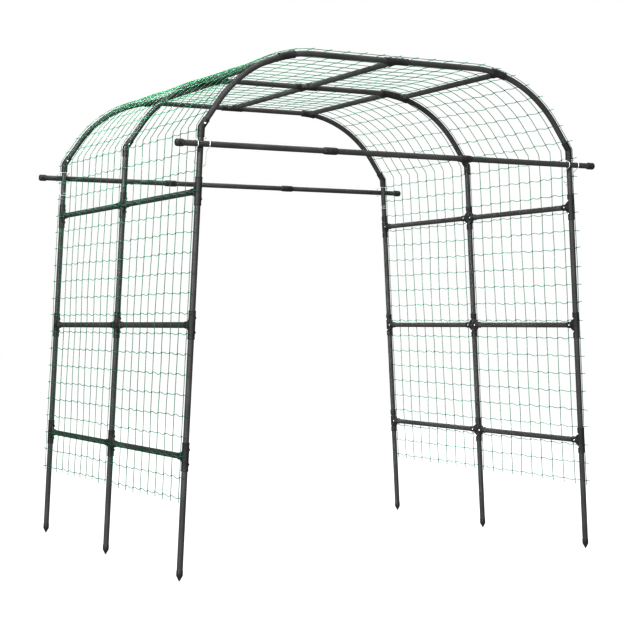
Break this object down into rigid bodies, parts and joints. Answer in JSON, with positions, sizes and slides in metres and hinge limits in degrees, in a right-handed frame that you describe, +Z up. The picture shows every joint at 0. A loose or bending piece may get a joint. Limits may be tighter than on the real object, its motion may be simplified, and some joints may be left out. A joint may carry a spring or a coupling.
{
  "type": "metal trellis arch",
  "caption": "Walk-through garden arch of steel tubes pushed into moulded connectors, with stake feet, a clipped-on crossbar at each end and climbing net over walls and roof.",
  "frame": {"origin": "ground level under the middle of the arch, midway between the posts and between the front and rear ribs; the stake points stand on z = 0", "axes": "+Z up, +X to the right across the tunnel when looking in from the front, +Y along the tunnel from the front rib to the rear rib"},
  "size_m": [2.162, 1.832, 2.2704],
  "materials": {
    "charcoal_tube": "satin",
    "black_connector_plastic": "satin",
    "black_cap_plastic": "satin",
    "zinc_screw": "gloss",
    "clip_wire": "satin",
    "net_cord": "matte"
  },
  "bodies": {
    "root": {"connector_screws": "zinc_screw", "crossbar_end_caps": "black_cap_plastic", "crossbar_front": "charcoal_tube", "crossbar_rear": "charcoal_tube", "crossbar_sleeves": "black_connector_plastic", "elbow_front_left": "black_connector_plastic", "elbow_front_right": "black_connector_plastic", "elbow_middle_left": "black_connector_plastic", "elbow_middle_right": "black_connector_plastic", "elbow_rear_left": "black_connector_plastic", "elbow_rear_right": "black_connector_plastic", "ground_post_front_left": "charcoal_tube", "ground_post_front_right": "charcoal_tube", "ground_post_middle_left": "charcoal_tube", "ground_post_middle_right": "charcoal_tube", "ground_post_rear_left": "charcoal_tube", "ground_post_rear_right": "charcoal_tube", "knee_tees_front": "black_connector_plastic", "knee_tees_middle": "black_connector_plastic", "knee_tees_rear": "black_connector_plastic", "netting": "net_cord", "post_tubes_front_left": "charcoal_tube", "post_tubes_front_right": "charcoal_tube", "post_tubes_middle_left": "charcoal_tube", "post_tubes_middle_right": "charcoal_tube", "post_tubes_rear_left": "charcoal_tube", "post_tubes_rear_right": "charcoal_tube", "ridge_cross_middle": "black_connector_plastic", "ridge_tee_front": "black_connector_plastic", "ridge_tee_rear": "black_connector_plastic", "roof_purlins_front": "charcoal_tube", "roof_purlins_rear": "charcoal_tube", "roof_tube_front_left": "charcoal_tube", "roof_tube_front_right": "charcoal_tube", "roof_tube_middle_left": "charcoal_tube", "roof_tube_middle_right": "charcoal_tube", "roof_tube_rear_left": "charcoal_tube", "roof_tube_rear_right": "charcoal_tube", "shoulder_tube_front_left": "charcoal_tube", "shoulder_tube_front_right": "charcoal_tube", "shoulder_tube_middle_left": "charcoal_tube", "shoulder_tube_middle_right": "charcoal_tube", "shoulder_tube_rear_left": "charcoal_tube", "shoulder_tube_rear_right": "charcoal_tube", "stake_tip_front_left": "black_cap_plastic", "stake_tip_front_right": "black_cap_plastic", "stake_tip_middle_left": "black_cap_plastic", "stake_tip_middle_right": "black_cap_plastic", "stake_tip_rear_left": "black_cap_plastic", "stake_tip_rear_right": "black_cap_plastic", "wall_bars_front_left": "charcoal_tube", "wall_bars_front_right": "charcoal_tube", "wall_bars_rear_left": "charcoal_tube", "wall_bars_rear_right": "charcoal_tube", "wall_crosses_left": "black_connector_plastic", "wall_crosses_right": "black_connector_plastic", "wall_tees_left": "black_connector_plastic", "wall_tees_right": "black_connector_plastic", "wire_clips": "clip_wire"}
  },
  "joints": []
}
